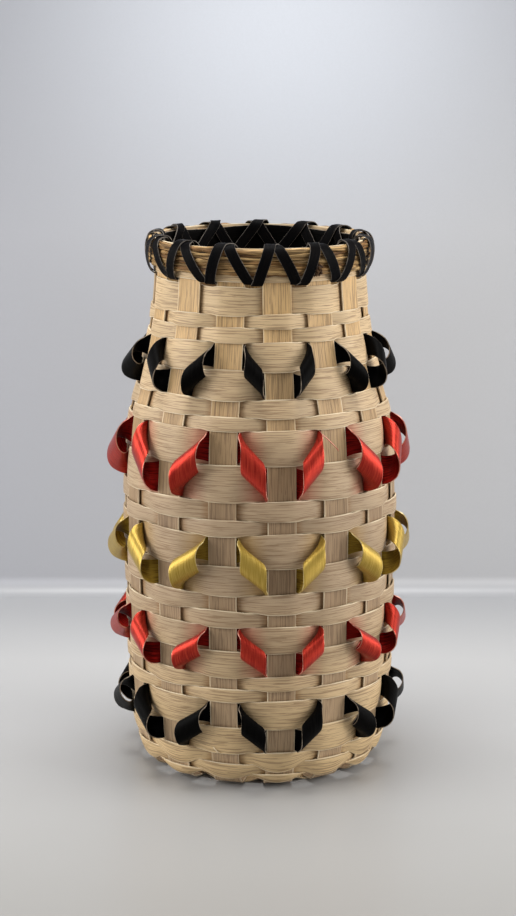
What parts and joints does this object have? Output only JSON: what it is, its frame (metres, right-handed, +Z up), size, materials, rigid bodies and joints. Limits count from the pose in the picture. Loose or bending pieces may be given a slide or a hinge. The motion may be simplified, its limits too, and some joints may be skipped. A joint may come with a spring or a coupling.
{
  "type": "basket",
  "caption": "Tall vase-shaped splint basket woven over one and under one, with curled overlay bands in black, red and gold and a grass rim lashed on with black splint.",
  "frame": {"origin": "centre of the base on the surface the basket stands on", "axes": "+Z up along the basket's axis, -Y towards the front as pictured, +X to the right of it"},
  "size_m": [0.1256, 0.1254, 0.2204],
  "materials": {
    "ash_weaver": "bare split ash, fine grain along the strip",
    "ash_upright": "bare split ash, darker upright grain",
    "black_splint": "black dyed ash with a soft sheen",
    "red_splint": "red dyed ash, satin",
    "gold_splint": "gold dyed ash, satin",
    "sweetgrass": "dry grass stems, matt"
  },
  "bodies": {
    "root": {"base_weaver_1": "ash_weaver", "base_weaver_2": "ash_weaver", "base_weaver_3": "ash_weaver", "black_low_curls": "black_splint", "black_low_weaver_1": "ash_weaver", "black_low_weaver_2": "ash_weaver", "black_top_curls": "black_splint", "black_top_weaver_1": "ash_weaver", "black_top_weaver_2": "ash_weaver", "foot_weaver_1": "ash_weaver", "foot_weaver_2": "ash_weaver", "foot_weaver_3": "ash_weaver", "gold_curls": "gold_splint", "gold_weaver_1": "ash_weaver", "gold_weaver_2": "ash_weaver", "inner_rim_hoop": "black_splint", "lashing_back": "black_splint", "lashing_forward": "black_splint", "lower_belly_weaver_1": "ash_weaver", "lower_belly_weaver_2": "ash_weaver", "mid_belly_weaver_1": "ash_weaver", "mid_belly_weaver_2": "ash_weaver", "neck_weaver_1": "ash_weaver", "neck_weaver_2": "ash_weaver", "outer_rim_hoop": "ash_weaver", "red_low_curls": "red_splint", "red_low_weaver_1": "ash_weaver", "red_low_weaver_2": "ash_weaver", "red_top_curls": "red_splint", "red_top_weaver_1": "ash_weaver", "red_top_weaver_2": "ash_weaver", "rim_row_weaver_1": "ash_weaver", "shoulder_weaver_1": "ash_weaver", "shoulder_weaver_2": "ash_weaver", "sweetgrass_bundle": "sweetgrass", "upper_belly_weaver_1": "ash_weaver", "upper_belly_weaver_2": "ash_weaver", "upright_splint_1": "ash_upright", "upright_splint_2": "ash_upright", "upright_splint_3": "ash_upright", "upright_splint_4": "ash_upright", "upright_splint_5": "ash_upright", "upright_splint_6": "ash_upright", "upright_splint_7": "ash_upright"}
  },
  "joints": []
}
